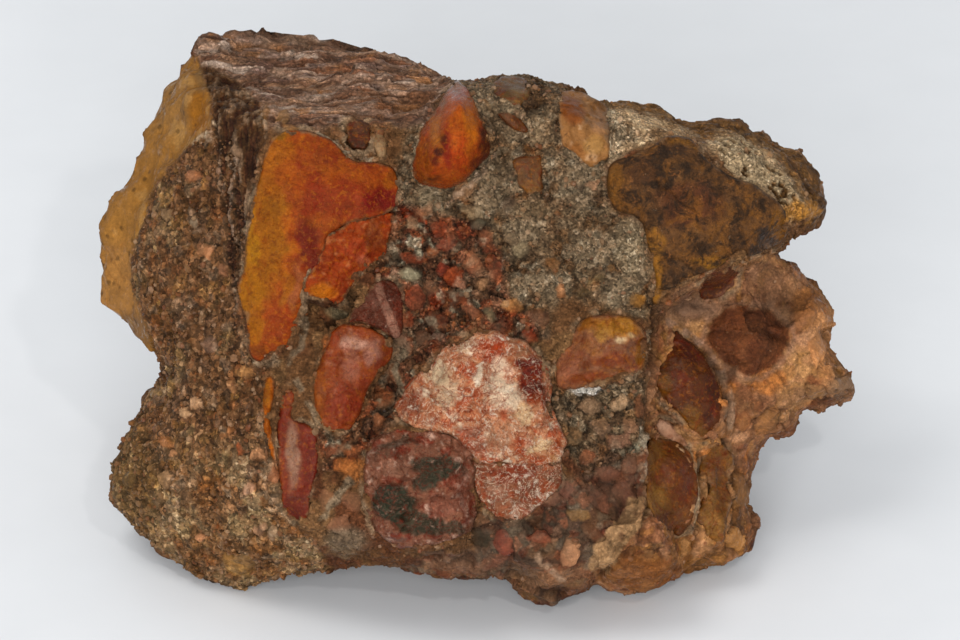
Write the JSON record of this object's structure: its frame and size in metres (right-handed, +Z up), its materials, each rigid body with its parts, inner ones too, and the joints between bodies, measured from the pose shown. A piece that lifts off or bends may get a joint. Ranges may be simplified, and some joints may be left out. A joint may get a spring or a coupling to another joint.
{
  "type": "breccia hand specimen",
  "caption": "Broken block of natural breccia: angular and rounded stones held in gritty cement, resting on small flat spots.",
  "frame": {"origin": "centre of the bounding box's bottom, on the surface the rock rests on", "axes": "+Z up; +X along the rock's longest side, to the right as its broken face is seen; the broken face looks towards -Y and leans back"},
  "size_m": [0.1302, 0.0919, 0.0858],
  "materials": {
    "rock": "rough broken rock with smooth, slightly waxy stones"
  },
  "bodies": {
    "root": {"breccia": "rock"}
  },
  "joints": []
}
